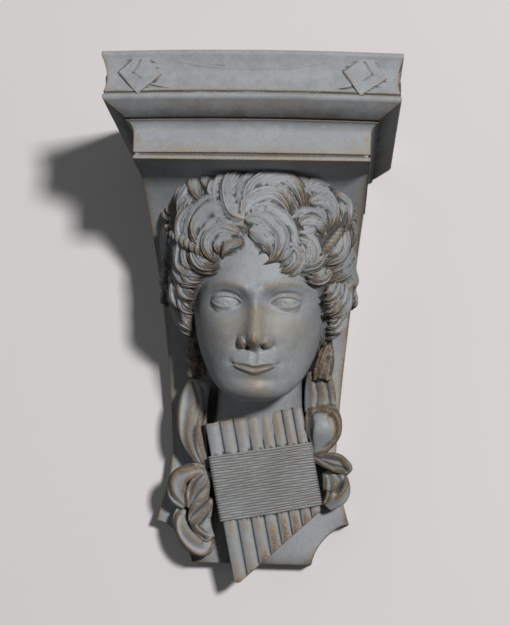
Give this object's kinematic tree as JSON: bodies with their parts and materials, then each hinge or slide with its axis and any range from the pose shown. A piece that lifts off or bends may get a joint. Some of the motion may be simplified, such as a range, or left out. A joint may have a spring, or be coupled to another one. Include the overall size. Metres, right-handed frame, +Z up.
{
  "type": "figural wall bracket",
  "caption": "Moulded shelf on a tapering console with a curly head, hanging cloth and tilted pan pipes in relief, cast in one piece to carry an ornament on a wall.",
  "frame": {"origin": "on the wall face, midway between its sides and between the shelf's top and the foot of the back plate", "axes": "+Y out of the back into the wall, so the head looks along -Y; +Z up, from the foot to the shelf"},
  "size_m": [0.288, 0.256, 0.5089],
  "materials": {
    "terracotta": "thin blue-grey matt glaze, worn to ochre brown on edges and high points"
  },
  "bodies": {
    "root": {"terracotta_bracket": "terracotta"}
  },
  "joints": []
}
